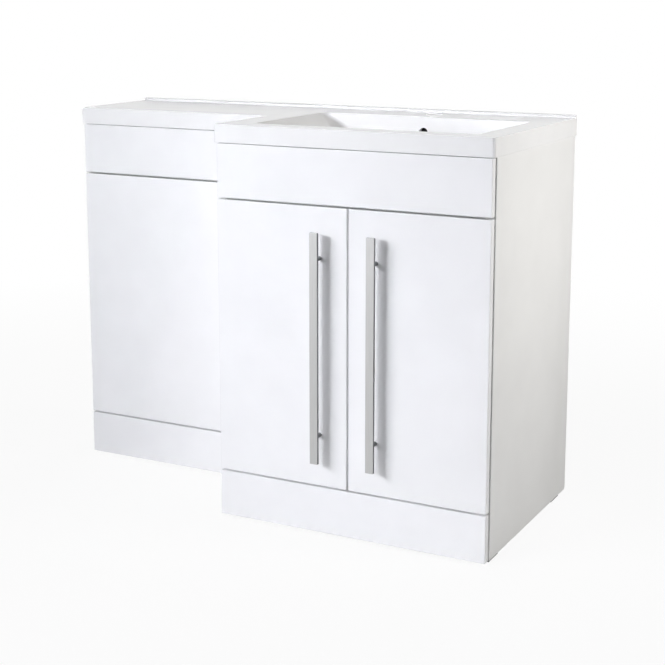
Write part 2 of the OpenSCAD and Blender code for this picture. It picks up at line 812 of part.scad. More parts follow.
module linking_sleeves() {
  color("silver") for (d = link_d, z = link_z) difference() {
    union() {
      bar_x(wc_x1 - board_t, wc_x1 + board_t - 1, d, z, sleeve_r);
      bar_x(wc_x1 - board_t - link_head_t, wc_x1 - board_t, d, z, link_head_r);
    }
    bar_x(wc_x1 - board_t + 4, wc_x1 + board_t, d, z, link_bolt_r);
  }
}

module linking_bolts() {
  color("silver") for (d = link_d, z = link_z) {
    bar_x(wc_x1 - board_t + 5, wc_x1 + board_t, d, z, link_bolt_r);
    bar_x(wc_x1 + board_t, wc_x1 + board_t + link_head_t, d, z, link_head_r);
  }
}

// Inner face of the panel that carries each bracket, and the way into the cabinet
bracket_sites = [[wc_rail_x0, 1], [wc_rail_x1, -1], [rail_x0, 1], [rail_x1, -1]];
bracket_z = box_z1 - bracket_down - bracket_w / 2;
bracket_screw_d = bracket_leg * 0.6;
bracket_screw_in = 10;

module bracket(x, s) {
  x0 = s > 0 ? x : x - bracket_t;
  leg0 = s > 0 ? x : x - bracket_leg;
  difference() {
    union() {
      board(x0, x0 + bracket_t, 0, bracket_leg, bracket_z - bracket_w / 2, bracket_z + bracket_w / 2);
      board(leg0, leg0 + bracket_leg, 0, bracket_t, bracket_z - bracket_w / 2, bracket_z + bracket_w / 2);
    }
    bar_x(x - bracket_leg / 4, x + bracket_leg / 4, bracket_screw_d, bracket_z, small_screw_r);
    bar_y(x + s * bracket_leg * 0.6, -eps, bracket_t + eps, bracket_z, bracket_hole_r);
  }
}

module wall_brackets() { color("silver") for (b = bracket_sites) bracket(b[0], b[1]); }

module wall_bracket_screws() {
  color("silver") for (b = bracket_sites) {
    tip = b[0] - b[1] * bracket_screw_in;
    seat = b[0] + b[1] * bracket_t;
    top = seat + b[1] * small_head_t;
    bar_x(min(tip, seat), max(tip, seat), bracket_screw_d, bracket_z, small_screw_r);
    bar_x(min(seat, top), max(seat, top), bracket_screw_d, bracket_z, small_head_r);
  }
}

// ---- Doors and handles, drawn for the right-hand side ----

// Hinge frame: X runs from the door's outer edge inwards, Y from the door's back to the rear
module hinge_at(z) {
  translate([door_x1, wall_y - van_face + front_t, z]) mirror([1, 0, 0]) children();
}

bar_x_mid = van_cx + front_gap / 2 + bar_inset;
post_d = van_face + bar_out - bar_t;

module at_posts() { for (s = [-1, 1]) translate([0, 0, s * post_pitch / 2]) children(); }

module door(side) {
  color("white") hand(side) difference() {
    front_board(door_x1 - door_w, door_x1, van_face, door_z0, door_z1);
    for (z = hinge_z) hinge_at(z) {
      translate([cup_u, -cup_dep - cup_fit, 0]) rotate([-90, 0, 0])
        cylinder(r = cup_r, h = cup_dep + cup_fit + eps);
      for (s = [-1, 1]) translate([cup_screw_u, -cup_screw_in, s * cup_screw_z]) rotate([-90, 0, 0])
        cylinder(r = small_screw_r, h = cup_screw_in + eps);
    }
    at_posts() bar_y(bar_x_mid, van_face - front_t - eps, van_face + eps, bar_z, handle_screw_r + 0.3);
  }
}

module handle_bar(side) {
  color("silver") hand(side) {
    board(bar_x_mid - bar_w / 2, bar_x_mid + bar_w / 2, post_d, van_face + bar_out,
          bar_z - bar_l / 2, bar_z + bar_l / 2);
  }
}

module handle_posts(side) {
  color("silver") hand(side) at_posts() difference() {
    bar_y(bar_x_mid, van_face, post_d, bar_z, post_r);
    bar_y(bar_x_mid, van_face - eps, van_face + handle_screw_in, bar_z, handle_screw_r);
  }
}

module handle_screws(side) {
  color("silver") hand(side) at_posts() {
    bar_y(bar_x_mid, van_face - front_t, van_face + handle_screw_in, bar_z, handle_screw_r);
    bar_y(bar_x_mid, van_face - front_t - 2.5, van_face - front_t, bar_z, 2 * handle_screw_r);
  }
}

// Small pads on the door's back that meet the base and the front rail
module door_buffers(side) {
  color("gainsboro") hand(side)
    for (x = [door_x1 - door_w + buffer_edge, door_x1 - buffer_edge - 35],
         z = [door_z0 + buffer_r + 1, door_z1 - buffer_r - 1])
      bar_y(x, van_face - front_t - buffer_t, van_face - front_t, z, buffer_r);
}

// ---- Cup hinges ----

module hinge_cups(side) {
  inner_r = cup_r - cup_fit - cup_wall;
  color("silver") hand(side) for (z = hinge_z) hinge_at(z) difference() {
    union() {
      translate([cup_u, -cup_dep, 0]) rotate([-90, 0, 0]) cylinder(r = cup_r - cup_fit, h = cup_dep);
      intersection() {
        translate([cup_u, 0, 0]) rotate([-90, 0, 0]) cylinder(r = cup_screw_z + 6, h = flange_t);
        translate([cup_edge + cup_fit, 0, -cup_screw_z - 6])
          cube([2 * cup_r - 4, flange_t, 2 * cup_screw_z + 12]);
      }
    }
    translate([cup_u, -cup_dep + cup_wall, 0]) rotate([-90, 0, 0])
      cylinder(r = inner_r, h = cup_dep + flange_t);
    for (s = [-1, 1]) translate([cup_screw_u, -eps, s * cup_screw_z]) rotate([-90, 0, 0])
      cylinder(r = small_screw_r, h = flange_t + 2 * eps);
    hinge_pin_shape();
  }
}

module hinge_pin_shape() {
  half = sqrt(pow(cup_r - cup_fit, 2) - pow(cup_u - pin_u + pin_r, 2)) - cup_fit;
  translate([pin_u, -pin_v, -half]) cylinder(r = pin_r, h = 2 * half);
}

module hinge_pins(side) { color("silver") hand(side) for (z = hinge_z) hinge_at(z) hinge_pin_shape(); }

module cup_screws(side) {
  color("silver") hand(side) for (z = hinge_z, s = [-1, 1]) hinge_at(z)
    translate([cup_screw_u, -cup_screw_in, s * cup_screw_z]) rotate([-90, 0, 0]) {
      cylinder(r = small_screw_r, h = cup_screw_in + flange_t);
      translate([0, 0, cup_screw_in + flange_t]) cylinder(r = small_head_r, h = flange_t);
    }
}

// The arm: a folded channel on the mounting plate, and a nose that hooks round the pin in the cup
module hinge_arms(side) {
  low = -pin_v - eye_r + 0.2;
  color("silver") hand(side) for (z = hinge_z) hinge_at(z) difference() {
    union() {
      translate([arm_u, arm_v0, -arm_w / 2]) cube([arm_h, arm_l, arm_w]);
      translate([nose_u, low, -nose_w / 2]) cube([nose_t, arm_v0 - low + 4, nose_w]);
      translate([pin_u, low, -nose_w / 2]) cube([nose_u - pin_u + nose_t, nose_t, nose_w]);
      translate([pin_u, -pin_v, -nose_w / 2]) cylinder(r = eye_r, h = nose_w);
    }
    translate([arm_u - eps, arm_v0 + 5, -arm_w / 2 + arm_wall])
      cube([arm_h - arm_wall + eps, arm_l, arm_w - 2 * arm_wall]);
    translate([pin_u, -pin_v, -nose_w / 2 - eps]) cylinder(r = pin_r + pin_clear, h = nose_w + 2 * eps);
    translate([arm_u, plate_v, 0]) rotate([0, 90, 0]) cylinder(r = small_screw_r, h = arm_h + eps);
  }
}

// Mounting plate: a wing either side for its two screws, and a block that fills the arm's channel
module hinge_plates(side) {
  block_h = arm_w - 2 * arm_wall - 0.2;
  color("silver") hand(side) for (z = hinge_z) hinge_at(z) difference() {
    union() {
      translate([panel_u, plate_v - plate_l / 2, -plate_h / 2]) cube([plate_t, plate_l, plate_h]);
      translate([panel_u, plate_v - plate_l / 2, -block_h / 2])
        cube([plate_t + arm_h - arm_wall, plate_l, block_h]);
    }
    for (s = [-1, 1]) translate([panel_u - eps, plate_v, s * plate_screw_z]) rotate([0, 90, 0])
      cylinder(r = small_screw_r, h = plate_t + 2 * eps);
    translate([panel_u + plate_t, plate_v, 0]) rotate([0, 90, 0])
      cylinder(r = small_screw_r, h = arm_h);
  }
}

// A screw of length l under its head
module headed_screw(l) {
  cylinder(r = small_screw_r, h = l);
  translate([0, 0, l]) cylinder(r = small_head_r, h = small_head_t);
}

module hinge_screws(side) {
  color("silver") hand(side) for (z = hinge_z) hinge_at(z) {
    for (s = [-1, 1]) translate([panel_u - plate_screw_in, plate_v, s * plate_screw_z])
      rotate([0, 90, 0]) headed_screw(plate_screw_in + plate_t);
    translate([panel_u + plate_t, plate_v, 0]) rotate([0, 90, 0]) headed_screw(arm_h);
  }
}

// ---- Nodes ----

basin_top();
overflow_duct();
vanity_side_left();
vanity_side_right();
vanity_base();
vanity_front_rail();
vanity_back_rail_top();
vanity_back_rail_low();
vanity_shelf();
shelf_pins();
vanity_fascia();
vanity_plinth();
wc_side_left();
wc_side_right();
wc_top_rail();
wc_mid_rail();
wc_base_rail();
wc_back_rail_top();
wc_back_rail_low();
wc_access_panel();
access_panel_studs();
access_panel_sockets();
wc_front_panel();
wc_plinth();
front_spacers();
front_screws();
corner_blocks();
glides_vanity();
glides_wc();
linking_bolts();
linking_sleeves();
wall_brackets();
wall_bracket_screws();
dowels();
cam_discs();
cam_bolts();
door("left");  // door_left
handle_bar("left");  // handle_bar_left
handle_posts("left");  // handle_posts_left
handle_screws("left");  // handle_screws_left
hinge_cups("left");  // hinge_cups_left
hinge_pins("left");  // hinge_pins_left
cup_screws("left");  // cup_screws_left
door_buffers("left");  // door_buffers_left
hinge_arms("left");  // hinge_arms_left
hinge_plates("left");  // hinge_plates_left
hinge_screws("left");  // hinge_screws_left
door("right");  // door_right
handle_bar("right");  // handle_bar_right
handle_posts("right");  // handle_posts_right
handle_screws("right");  // handle_screws_right
hinge_cups("right");  // hinge_cups_right
hinge_pins("right");  // hinge_pins_right
cup_screws("right");  // cup_screws_right
door_buffers("right");  // door_buffers_right
hinge_arms("right");  // hinge_arms_right
hinge_plates("right");  // hinge_plates_right
hinge_screws("right");  // hinge_screws_right
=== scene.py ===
"""A white gloss L-shaped bathroom unit: one cast basin top over a deep two-door vanity cabinet
and a shallow WC cabinet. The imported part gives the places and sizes, and this script the looks."""

import json
import math

import bmesh
import bpy
from mathutils import Matrix, Quaternion, Vector


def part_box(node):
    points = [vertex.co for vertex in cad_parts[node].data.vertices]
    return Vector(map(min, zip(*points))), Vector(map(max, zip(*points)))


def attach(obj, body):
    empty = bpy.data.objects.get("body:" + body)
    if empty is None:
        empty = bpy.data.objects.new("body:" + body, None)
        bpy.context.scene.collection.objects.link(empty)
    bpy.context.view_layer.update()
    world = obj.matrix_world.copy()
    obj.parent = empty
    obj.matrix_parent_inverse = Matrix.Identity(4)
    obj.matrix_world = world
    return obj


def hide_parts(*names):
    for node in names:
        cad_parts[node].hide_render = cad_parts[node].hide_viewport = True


MM = 0.001
SHARP = math.radians(40)  # faces that meet at more than this keep a sharp edge
FLAT = math.radians(0.5)  # faces that meet at less than this are joined into one
SAME = 1e-6  # points closer than this are one point
ALONG = 0.99  # cosine over which a face looks along a direction

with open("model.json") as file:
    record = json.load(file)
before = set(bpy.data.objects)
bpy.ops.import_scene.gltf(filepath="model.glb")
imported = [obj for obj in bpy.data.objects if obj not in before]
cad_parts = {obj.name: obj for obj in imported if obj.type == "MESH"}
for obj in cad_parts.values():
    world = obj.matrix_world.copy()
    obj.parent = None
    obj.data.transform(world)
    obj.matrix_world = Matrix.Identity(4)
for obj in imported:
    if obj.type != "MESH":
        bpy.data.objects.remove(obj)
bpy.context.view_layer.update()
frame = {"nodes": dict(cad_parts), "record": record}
mounts = {mount["name"]: mount for mount in frame["record"]["mounts"]}

# Basin top, in metres
DECK_T = 12 * MM  # deck over the hollow underside
LIP_H = 6 * MM  # lip along the wall
LIP_T = 12 * MM
LIP_EDGE = 4 * MM  # rounder front edge of the lip
OVERHANG = 2 * MM  # past the fronts
SIDE_OVERHANG = 4 * MM  # past the vanity's left side panel
TOP_CORNER = 5 * MM  # upright corners
INNER_CORNER = 3 * MM  # inner corner of the L
TOP_EDGE = 2.5 * MM  # soft upper edges
COVE = 1.0 * MM  # crease between the deck and the lip
LOW_EDGE = 0.6 * MM  # lower edges of the aprons
RIM_SIDE = 17 * MM  # solid rims round the hollow underside
RIM_FRONT = 30 * MM

# Bowl
BOWL_RIGHT = 56 * MM  # rim to the right of the bowl
BOWL_FRONT = 54 * MM  # rim in front of it
BOWL_W = 488 * MM
BOWL_L = 302 * MM
BOWL_DEPTH = 100 * MM
BOWL_WALL = 9 * MM
BOWL_RIM_R = 3 * MM
BOWL_CORNER = 13 * MM  # corners at the deck
BOWL_CORNER_LOW = 92 * MM  # corners at the floor, where the walls blend more softly
SHELL_CORNER = 4 * MM  # corners of the bowl's outside
CORNER_STEPS = 8  # steps round each of these corners
RIM_STEPS = 4  # steps over the bowl's round rim
FOOT_STEPS = 6  # steps down the round foot of its walls
SHELL_STEPS = 5  # and down that of its outside
RAMP_RUN = 110 * MM  # sloping left wall
RAMP_FOOT_R = 60 * MM
WALL_LEAN = 8 * MM
WALL_FOOT_R = 20 * MM
TAP_RIM_R = 0.8 * MM  # eased edge of the tap hole
WASTE_RIM_R = 1.5 * MM
BOSS_WALL = 9 * MM  # boss round the waste, under the bowl
BOSS_EDGE = 1 * MM
OVERFLOW_DOWN = 34 * MM  # from the deck to the middle of the overflow hole
OVERFLOW_R = 10 * MM

# Doors and fronts
FRONT_EDGE = 1.6 * MM  # eased edges of the lacquered fronts
BOARD_EDGE = 0.7 * MM  # edges of the melamine boards
LONG_EDGE = 12 * MM  # board edges shorter than this, such as those of bores, stay sharp
BAR_EDGE = 0.25 * MM  # edges of the handle bars
POST_EDGE = 0.4 * MM
POST_SIDES = 40
CUP_R = 17.5 * MM
CUP_DEPTH = 12.1 * MM
CUP_INSET = 20.5 * MM  # from a door's outer edge to the middle of its cups
CUP_FLANGE = 30 * MM  # half the height of a cup's flange

# Camera, solved from the edges of the cabinets
IMAGE_SIZE = 665
FOCAL_PX = 1414.1
CAMERA_PLACE = (1.472, -2.643, 1.088)
CAMERA_YAW = 27.49
CAMERA_PITCH = 10.17
CAMERA_SHIFT = -0.13
SENSOR_WIDTH = 36.0
VIEW_LIMIT = 200.0  # past the floor's edge

# Studio
FLOOR_R = 60.0
FLOOR_NEAR = 0.6  # where the floor starts to fade to plain white
FLOOR_FAR = 2.5  # where it is plain white
FLOOR_SHARE = 0.92  # share of plain white near the unit, so that its shadow stays faint
CEILING_LOW = 0.45  # upward part of a direction where the white starts to turn grey
CEILING_HIGH = 0.85
CEILING_GREY = 0.4
AMBIENT = 0.04  # strength of the soft light from all round
WHITE = (1.0, 1.0, 1.0, 1.0)


# ---- Small tools for meshes ----


def loop_through(bm, points):
    """A closed loop of edges through the points."""
    verts = [bm.verts.new(p) for p in points]
    return [bm.edges.new(pair) for pair in zip(verts, verts[1:] + verts[:1])]


def rounded(x0, x1, y0, y1, radius, z):
    """Points round a level rectangle with round corners."""
    corners = ((x1, y1, -1, -1, 0), (x0, y1, 1, -1, 90), (x0, y0, 1, 1, 180), (x1, y0, -1, 1, 270))
    points = []
    for x, y, inward_x, inward_y, start in corners:
        middle_x, middle_y = x + inward_x * radius, y + inward_y * radius
        for i in range(CORNER_STEPS + 1):
            a = math.radians(start + 90 * i / CORNER_STEPS)
            points.append((middle_x + radius * math.cos(a), middle_y + radius * math.sin(a), z))
    return points


def circle(bm, centre, axis, radius, count=56):
    """The edge loop of a circle round the axis."""
    turn = Vector(axis).to_track_quat("Z", "Y").to_matrix().to_4x4()
    made = bmesh.ops.create_circle(
        bm, cap_ends=False, radius=radius, segments=count, matrix=Matrix.Translation(centre) @ turn
    )
    ring = set(made["verts"])
    edges = dict.fromkeys(e for v in made["verts"] for e in v.link_edges)  # keeps their order
    return [e for e in edges if set(e.verts) <= ring]


def only(kind, geometry):
    """The vertices or the edges among the geometry."""
    return [g for g in geometry if isinstance(g, kind)]


def bridge(bm, loops):
    """Walls from each loop to the next. Returns the faces of each wall."""
    return [
        bmesh.ops.bridge_loops(bm, edges=list(a) + list(b))["faces"]
        for a, b in zip(loops, loops[1:])
    ]


def fill(bm, loops, normal):
    """A flat face inside the first loop, with holes at the others."""
    edges = [e for loop in loops for e in loop]
    made = bmesh.ops.triangle_fill(
        bm, use_beauty=True, use_dissolve=False, edges=edges, normal=normal
    )
    flat = only(bmesh.types.BMEdge, made["geom"])
    bmesh.ops.dissolve_limit(
        bm, angle_limit=FLAT, verts=[], edges=flat, use_dissolve_boundaries=False
    )


def open_face(bm, face, loops):
    """Swaps a flat face for one with holes at the loops."""
    outline = list(face.edges)
    normal = face.normal.copy()
    bmesh.ops.delete(bm, geom=[face], context="FACES_ONLY")
    fill(bm, [outline, *loops], normal)


def widest(faces, direction):
    """The largest face that looks along the direction or against it."""
    d = Vector(direction)
    return max((f for f in faces if abs(f.normal.dot(d)) > ALONG), key=lambda f: f.calc_area())


def raise_faces(bm, faces, height):
    """Extrudes faces straight up."""
    raised = bmesh.ops.extrude_face_region(bm, geom=faces)["geom"]
    verts = only(bmesh.types.BMVert, raised)
    bmesh.ops.translate(bm, verts=verts, vec=(0, 0, height))


def sink(bm, loop, shift):
    """Gives a hole in a face its wall and its flat end."""
    grown = bmesh.ops.extrude_edge_only(bm, edges=loop)["geom"]
    verts = only(bmesh.types.BMVert, grown)
    bmesh.ops.translate(bm, verts=verts, vec=shift)
    low = set(verts)
    end = [e for e in only(bmesh.types.BMEdge, grown) if set(e.verts) <= low]
    bmesh.ops.edgeloop_fill(bm, edges=end)


def soften(bm, edges, offset, segments):
    """Rounds edges."""
    bmesh.ops.bevel(
        bm,
        geom=edges,
        offset=offset,
        offset_type="OFFSET",
        segments=segments,
        profile=0.5,
        affect="EDGES",
        clamp_overlap=True,
        material=-1,
    )


def sharp_edges(bm):
    """Edges where two faces meet at more than the sharp angle."""
    return [e for e in bm.edges if e.is_manifold and e.calc_face_angle() > SHARP]


def block(lo, hi, edge):
    """A box with rounded edges."""
    bm = bmesh.new()
    size = Matrix.Diagonal((*(hi - lo), 1.0))
    bmesh.ops.create_cube(bm, size=1.0, matrix=Matrix.Translation((lo + hi) / 2) @ size)
    soften(bm, bm.edges[:], edge, segments=3)
    return bm


def add_object(name, data):
    """Puts a new object into the scene."""
    obj = bpy.data.objects.new(name, data)
    bpy.context.scene.collection.objects.link(obj)
    return obj


def piece(name, bm, body, material, node):
    """Turns a finished bmesh into a piece that rides on its body and stands for a CAD node."""
    bmesh.ops.recalc_face_normals(bm, faces=bm.faces[:])
    mesh = bpy.data.meshes.new(name)
    bm.to_mesh(mesh)
    bm.free()
    for polygon in mesh.polygons:
        polygon.use_smooth = True
    mesh.set_sharp_from_angle(angle=SHARP)
    mesh.materials.append(material)
    obj = add_object(name, mesh)
    weigh = obj.modifiers.new("even_shading", "WEIGHTED_NORMAL")
    weigh.keep_sharp = True
    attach(obj, body)
    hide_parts(node)
    return obj


def merged_copy(node):
    """A bmesh of a CAD node with its triangles joined into flat faces."""
    bm = bmesh.new()
    bm.from_mesh(frame["nodes"][node].data)
    bmesh.ops.remove_doubles(bm, verts=bm.verts[:], dist=SAME)
    bmesh.ops.dissolve_limit(
        bm, angle_limit=FLAT, verts=bm.verts[:], edges=bm.edges[:], delimit=set()
    )
    return bm


# ---- Materials ----


def linear(code):
    """The linear colour of an sRGB hex code."""
    parts = [int(code[i : i + 2], 16) / 255 for i in (0, 2, 4)]
    return (*(c / 12.92 if c <= 0.04045 else ((c + 0.055) / 1.055) ** 2.4 for c in parts), 1.0)


def per_metre(size_mm):
    """The scale of a pattern whose features are that many millimetres wide."""
    return 1 / (size_mm * MM)


def add_node(tree, kind, settings=None, links=None):
    """Adds a node, sets its inputs or properties by name and links outputs to its inputs."""
    node = tree.nodes.new(kind)
    for name, value in (settings or {}).items():
        if isinstance(name, int) or name in node.inputs:
            node.inputs[name].default_value = value
        else:
            setattr(node, name, value)
    for name, socket in (links or {}).items():
        tree.links.new(socket, node.inputs[name])
    return node


def new_material(name, code, **sockets):
    """A material with one Principled shader, its colour and its plain socket values."""
    material = bpy.data.materials.new(name)
    material.use_nodes = True
    tree = material.node_tree
    shader = tree.nodes["Principled BSDF"]
    shader.inputs["Base Color"].default_value = linear(code)
    for socket, value in sockets.items():
        shader.inputs[socket.replace("_", " ")].default_value = value
    place = tree.nodes.new("ShaderNodeTexCoord").outputs["Object"]
    return material, tree, shader, place


def vary(tree, shader, colour=None, roughness=None, relief=None):
    """Varies the shader by patterns: its colour between two hex codes, its roughness between two
    values, and its relief by a strength and a depth in millimetres."""
    if colour:
        pattern, dark, light = colour
        ramp = add_node(tree, "ShaderNodeValToRGB", links={"Fac": pattern})
        first, last = ramp.color_ramp.elements
        first.color, last.color = linear(dark), linear(light)
        first.position, last.position = 0.3, 0.7
        tree.links.new(ramp.outputs["Color"], shader.inputs["Base Color"])
    if roughness:
        pattern, low, high = roughness
        spread = add_node(
            tree, "ShaderNodeMapRange", {"To Min": low, "To Max": high}, {"Value": pattern}
        )
        tree.links.new(spread.outputs["Result"], shader.inputs["Roughness"])
    if relief:
        pattern, strength, depth_mm = relief
        bumps = add_node(
            tree,
            "ShaderNodeBump",
            {"Strength": strength, "Distance": depth_mm * MM},
            {"Height": pattern},
        )
        tree.links.new(bumps.outputs["Normal"], shader.inputs["Normal"])


def gloss_lacquer():
    """White polyurethane lacquer sprayed on MDF: a mirror-like coat with a faint orange peel."""
    material, tree, shader, place = new_material("white_gloss_lacquer", "F0F0F1", IOR=1.5)
    peel = add_node(
        tree, "ShaderNodeTexNoise", {"Scale": per_metre(3.5), "Detail": 1.0}, {"Vector": place}
    ).outputs["Fac"]
    flow = add_node(
        tree, "ShaderNodeTexNoise", {"Scale": per_metre(90), "Detail": 2.0}, {"Vector": place}
    ).outputs["Fac"]
    vary(tree, shader, (flow, "EFEFF0", "F2F2F3"), (flow, 0.12, 0.15), (peel, 0.05, 0.02))
    return material


def gelcoat():
    """White polyester gelcoat over cast stone resin: deep gloss, slightly clouded within."""
    material, tree, shader, place = new_material("white_gelcoat", "EFEFEF", IOR=1.46)
    cloud = add_node(
        tree, "ShaderNodeTexNoise", {"Scale": per_metre(45), "Detail": 3.0}, {"Vector": place}
    ).outputs["Fac"]
    vary(tree, shader, (cloud, "EEEEEE", "F0F0F0"), (cloud, 0.1, 0.12))
    return material


def melamine():
    """White melamine paper pressed on chipboard: satin, with a fine pearl grain from the plate.
    The real grain is about 0.4 mm wide, and it is drawn three times as coarse to show."""
    material, tree, shader, place = new_material("white_melamine", "EBEBEA", IOR=1.5)
    pearl = add_node(
        tree, "ShaderNodeTexNoise", {"Scale": per_metre(1.2), "Detail": 2.0}, {"Vector": place}
    ).outputs["Fac"]
    patch = add_node(
        tree, "ShaderNodeTexNoise", {"Scale": per_metre(120), "Detail": 2.0}, {"Vector": place}
    ).outputs["Fac"]
    vary(tree, shader, (patch, "E9E9E8", "EDEDEC"), (pearl, 0.32, 0.46), (pearl, 0.12, 0.03))
    return material


def brushed_steel():
    """Stainless steel brushed along its length: fine upright lines that spread the light. Real
    lines are about 0.1 mm apart, and these are drawn at 0.9 mm to show."""
    material, tree, shader, place = new_material("brushed_stainless_steel", "B8B8B8", Metallic=1.0)
    stretch = add_node(
        tree,
        "ShaderNodeMapping",
        {"Scale": (per_metre(0.9), per_metre(0.9), per_metre(60))},
        {"Vector": place},
    ).outputs["Vector"]
    lines = add_node(
        tree,
        "ShaderNodeTexNoise",
        {"Scale": 1.0, "Detail": 4.0, "Roughness": 0.7},
        {"Vector": stretch},
    ).outputs["Fac"]
    vary(tree, shader, (lines, "B6B6B6", "C2C2C2"), (lines, 0.24, 0.36), (lines, 0.15, 0.02))
    return material


def satin_steel():
    """Stainless steel for the bar's sides and the posts, painted darker and more even than the
    brushed face. The darker colour is painted shade: it stands in for the dark surroundings that
    these surfaces reflect. Its grain, about 0.1 mm in the real one, is drawn at 0.7 mm."""
    material, tree, shader, place = new_material("steel_painted_dark_as_shade", "8A8B8D", Metallic=1.0)
    grain = add_node(
        tree, "ShaderNodeTexNoise", {"Scale": per_metre(0.7), "Detail": 3.0}, {"Vector": place}
    ).outputs["Fac"]
    vary(tree, shader, (grain, "848587", "909193"), (grain, 0.3, 0.4), (grain, 0.08, 0.02))
    return material


def plated_steel(name, code, rough, grain_mm):
    """Pressed or turned steel under a thin bright plating, with a slight drawn grain. A real grain
    of under 0.1 mm would speckle in the render, so it is drawn as faint waves, far coarser."""
    material, tree, shader, place = new_material(name, code, Metallic=1.0)
    grain = add_node(
        tree,
        "ShaderNodeTexNoise",
        {"Scale": per_metre(grain_mm), "Detail": 3.0},
        {"Vector": place},
    ).outputs["Fac"]
    vary(tree, shader, None, (grain, rough - 0.02, rough + 0.02), (grain, 0.01, 0.01))
    return material


def moulded_plastic(name, dark, light, rough, grain_mm):
    """Injection-moulded plastic with the fine spark grain of its tool. The real grain is about
    0.1 mm wide, and it is drawn coarser to show."""
    material, tree, shader, place = new_material(name, light, IOR=1.5)
    grain = add_node(
        tree,
        "ShaderNodeTexNoise",
        {"Scale": per_metre(grain_mm), "Detail": 2.0},
        {"Vector": place},
    ).outputs["Fac"]
    roughness = (grain, rough - 0.06, rough + 0.06)
    vary(tree, shader, (grain, dark, light), roughness, (grain, 0.15, 0.03))
    return material


def beech():
    """Planed beech, fluted for glue: pale brown with short darker flecks along the grain. They
    are drawn a few times their real size to show."""
    material, tree, shader, place = new_material("beech", "C9A274", IOR=1.5)
    stretch = add_node(
        tree,
        "ShaderNodeMapping",
        {"Scale": (per_metre(12), per_metre(1.0), per_metre(1.0))},
        {"Vector": place},
    ).outputs["Vector"]
    fleck = add_node(
        tree,
        "ShaderNodeTexNoise",
        {"Scale": 1.0, "Detail": 4.0},
        {"Vector": stretch},
    ).outputs["Fac"]
    vary(tree, shader, (fleck, "B58B5C", "D3AE80"), (fleck, 0.45, 0.6), (fleck, 0.2, 0.05))
    return material


LACQUER = gloss_lacquer()
GELCOAT = gelcoat()
MELAMINE = melamine()
STEEL = brushed_steel()
# steel painted darker for the bars' sides and the posts: painted shade
SATIN = satin_steel()
NICKEL = plated_steel("nickel_plated_steel", "C9C6C0", 0.28, 5.0)
ZINC = plated_steel("zinc_plated_steel", "B9BCC0", 0.34, 4.0)
NYLON = moulded_plastic("dark_nylon", "29292B", "343436", 0.5, 0.8)
WHITE_PLASTIC = moulded_plastic("white_abs_plastic", "E2E2E0", "E8E8E6", 0.38, 0.8)
PAD = moulded_plastic("clear_polyurethane", "D5D9D9", "DFE3E3", 0.4, 1.5)
BEECH = beech()

FINISH = {
    "gelcoat_top": GELCOAT,
    "gloss_front": LACQUER,
    "white_board": MELAMINE,
    "brushed_handle": STEEL,
    "hinge_steel": NICKEL,
    "zinc_fittings": ZINC,
    "dark_plastic": NYLON,
    "white_plastic": WHITE_PLASTIC,
    "clear_pad": PAD,
    "beech": BEECH,
}


def dress_nodes():
    """Gives each CAD node that stays the material of its slot."""
    for part in frame["record"]["subparts"]:
        mesh = frame["nodes"][part["node"]].data
        mesh.materials.clear()
        mesh.materials.append(FINISH[part["material_slot"]])


# ---- Basin top ----


def slope_in(h, run, depth, foot_r):
    """How far a sloping wall has come in at height h over the floor, with a round foot."""
    a = math.atan2(depth, run)
    if h >= foot_r * (1 - math.cos(a)):
        return run * (1 - h / depth)
    return run + foot_r * math.tan(a / 2) - math.sqrt(foot_r**2 - (foot_r - h) ** 2)


def l_shape(left, right, front, back, wc_front, deep_left):
    """The six corners of the L, from the left end of its shallow part's front."""
    return [
        (left, wc_front),
        (deep_left, wc_front),
        (deep_left, front),
        (right, front),
        (right, back),
        (left, back),
    ]


def top_slab(lo, hi, wc_front, deep_left, deck):
    """The L-shaped slab with rounded upright corners."""
    outline = l_shape(lo.x, hi.x, lo.y, hi.y, wc_front, deep_left)
    bm = bmesh.new()
    base = bm.faces.new([bm.verts.new((x, y, lo.z)) for x, y in outline])
    raise_faces(bm, [base], deck - lo.z)
    bmesh.ops.recalc_face_normals(bm, faces=bm.faces[:])
    upright = [e for e in bm.edges if abs(e.verts[0].co.z - e.verts[1].co.z) > MM]
    inner = [e for e in upright if not e.is_convex]
    soften(bm, [e for e in upright if e.is_convex], TOP_CORNER, segments=6)
    soften(bm, [e for e in inner if e.is_valid], INNER_CORNER, segments=4)
    return bm


def add_lip(bm, hi, deck):
    """Raises the strip of the deck along the wall."""
    top = widest([f for f in bm.faces if f.calc_center_median().z > deck - MM], (0, 0, 1))
    bmesh.ops.bisect_plane(
        bm,
        geom=[top, *top.edges, *top.verts],
        plane_co=(0, hi.y - LIP_T, deck),
        plane_no=(0, 1, 0),
        dist=SAME,
    )
    strip = [
        f
        for f in bm.faces
        if f.normal.z > ALONG and f.calc_center_median().y > hi.y - LIP_T
    ]
    raise_faces(bm, strip, LIP_H)
    bmesh.ops.delete(bm, geom=[f for f in strip if f.is_valid], context="FACES_ONLY")
    bmesh.ops.recalc_face_normals(bm, faces=bm.faces[:])


def ease_top(bm, hi, bottom, deck):
    """Rounds the lip, the deck's edges, the crease between them and the aprons' lower edges."""
    upper = [e for e in sharp_edges(bm) if min(v.co.z for v in e.verts) > deck - MM]
    creases = [e for e in upper if not e.is_convex]
    at_wall = [e for e in upper if min(v.co.y for v in e.verts) > hi.y - MM]
    lip = [
        e
        for e in upper
        if min(v.co.z for v in e.verts) > hi.z - MM
        and max(v.co.y for v in e.verts) < hi.y - LIP_T + MM
    ]
    other = [e for e in upper if e not in creases and e not in at_wall and e not in lip]
    soften(bm, lip, LIP_EDGE, segments=5)
    soften(bm, [e for e in other if e.is_valid], TOP_EDGE, segments=4)
    soften(bm, [e for e in creases if e.is_valid], COVE, segments=2)
    lower = [e for e in sharp_edges(bm) if max(v.co.z for v in e.verts) < bottom + MM]
    soften(bm, lower, LOW_EDGE, segments=2)
    bmesh.ops.remove_doubles(bm, verts=bm.verts[:], dist=SAME)


